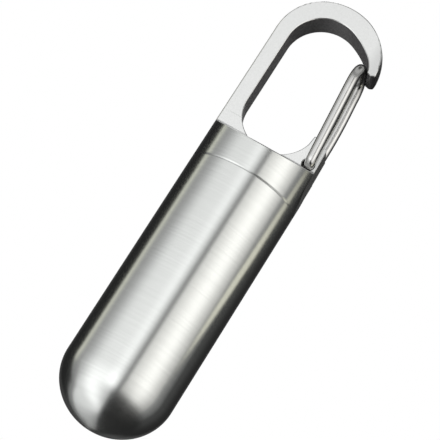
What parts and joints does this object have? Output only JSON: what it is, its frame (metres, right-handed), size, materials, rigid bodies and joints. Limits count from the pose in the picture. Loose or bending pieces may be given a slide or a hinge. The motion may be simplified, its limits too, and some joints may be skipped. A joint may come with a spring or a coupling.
{
  "type": "pill capsule container",
  "caption": "Round-bottomed steel tube that screws onto a cap milled into a flat hook; a sprung wire gate closes the hook and a rubber ring seals the tube.",
  "frame": {"origin": "inside the crown of the hook, on the capsule's axis, where a key ring hangs", "axes": "+Z along the capsule's axis, from the round bottom towards the hook; the hook's flat faces look along Y; its mouth opens towards +X"},
  "size_m": [0.02, 0.02, 0.0861],
  "materials": {
    "tube_steel": "brushed",
    "cap_steel": "satin",
    "spring_wire": "polished",
    "seal_rubber": "matte"
  },
  "bodies": {
    "cap": {"hook_cap": "cap_steel"},
    "seal": {"seal_ring": "seal_rubber"},
    "tube": {"capsule_tube": "tube_steel"},
    "gate": {"gate_wire": "spring_wire"}
  },
  "joints": [
    {"name": "gate_swing", "type": "hinge", "parent": "cap", "child": "gate", "pos_m": [0.0081, 0, -0.0256], "axis": [0, -1, 0], "range_deg": [0, 36], "stiffness_Nm_per_rad": 0.05, "springref_deg": -28.65},
    {"name": "tube_turn", "type": "hinge", "parent": "cap", "child": "seal", "pos_m": [0, 0, -0.0341], "axis": [0, 0, -1], "range_deg": [0, 2160]},
    {"name": "tube_travel", "type": "slide", "parent": "seal", "child": "tube", "axis": [0, 0, -1], "range_m": [0, 0.006]}
  ],
  "couplings": [
    {"joint": "tube_travel", "follows": "tube_turn", "m_per_rad": 0.00015915}
  ]
}
